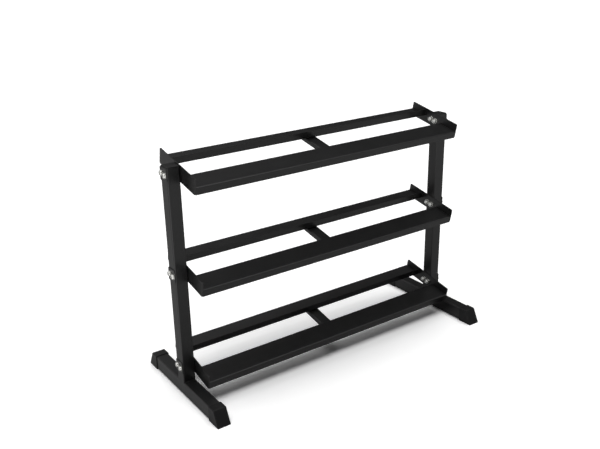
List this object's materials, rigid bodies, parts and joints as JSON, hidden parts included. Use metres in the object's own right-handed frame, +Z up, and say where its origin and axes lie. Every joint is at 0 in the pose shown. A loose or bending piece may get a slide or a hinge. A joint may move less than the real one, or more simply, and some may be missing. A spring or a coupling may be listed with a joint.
{
  "type": "dumbbell rack",
  "caption": "Free-standing three-tier dumbbell rack: two tube side frames on capped feet carry sloping shelves of folded steel rails, bolted through the posts.",
  "frame": {"origin": "on the floor under the middle of the rack, the centre of its bounding box's base", "axes": "+X along the rack to the user's right, +Y to the rear, away from the user, +Z up"},
  "size_m": [1.219, 0.512, 0.8474],
  "materials": {
    "black_powder_coat": "satin black powder coat",
    "black_plastic": "moulded black plastic, satin",
    "zinc_plate": "bright zinc plate"
  },
  "bodies": {
    "root": {"bottom_centre_brace": "black_powder_coat", "bottom_front_rail": "black_powder_coat", "bottom_left_backing_plate": "black_powder_coat", "bottom_left_bolts": "zinc_plate", "bottom_left_end_plate": "black_powder_coat", "bottom_left_nuts": "zinc_plate", "bottom_left_washers": "zinc_plate", "bottom_rear_rail": "black_powder_coat", "bottom_right_backing_plate": "black_powder_coat", "bottom_right_bolts": "zinc_plate", "bottom_right_end_plate": "black_powder_coat", "bottom_right_nuts": "zinc_plate", "bottom_right_washers": "zinc_plate", "left_foot_tube": "black_powder_coat", "left_front_foot_cap": "black_plastic", "left_post": "black_powder_coat", "left_post_cap": "black_plastic", "left_rear_foot_cap": "black_plastic", "middle_centre_brace": "black_powder_coat", "middle_front_rail": "black_powder_coat", "middle_left_backing_plate": "black_powder_coat", "middle_left_bolts": "zinc_plate", "middle_left_end_plate": "black_powder_coat", "middle_left_nuts": "zinc_plate", "middle_left_washers": "zinc_plate", "middle_rear_rail": "black_powder_coat", "middle_right_backing_plate": "black_powder_coat", "middle_right_bolts": "zinc_plate", "middle_right_end_plate": "black_powder_coat", "middle_right_nuts": "zinc_plate", "middle_right_washers": "zinc_plate", "right_foot_tube": "black_powder_coat", "right_front_foot_cap": "black_plastic", "right_post": "black_powder_coat", "right_post_cap": "black_plastic", "right_rear_foot_cap": "black_plastic", "top_centre_brace": "black_powder_coat", "top_front_rail": "black_powder_coat", "top_left_backing_plate": "black_powder_coat", "top_left_bolts": "zinc_plate", "top_left_end_plate": "black_powder_coat", "top_left_nuts": "zinc_plate", "top_left_washers": "zinc_plate", "top_rear_rail": "black_powder_coat", "top_right_backing_plate": "black_powder_coat", "top_right_bolts": "zinc_plate", "top_right_end_plate": "black_powder_coat", "top_right_nuts": "zinc_plate", "top_right_washers": "zinc_plate"}
  },
  "joints": []
}
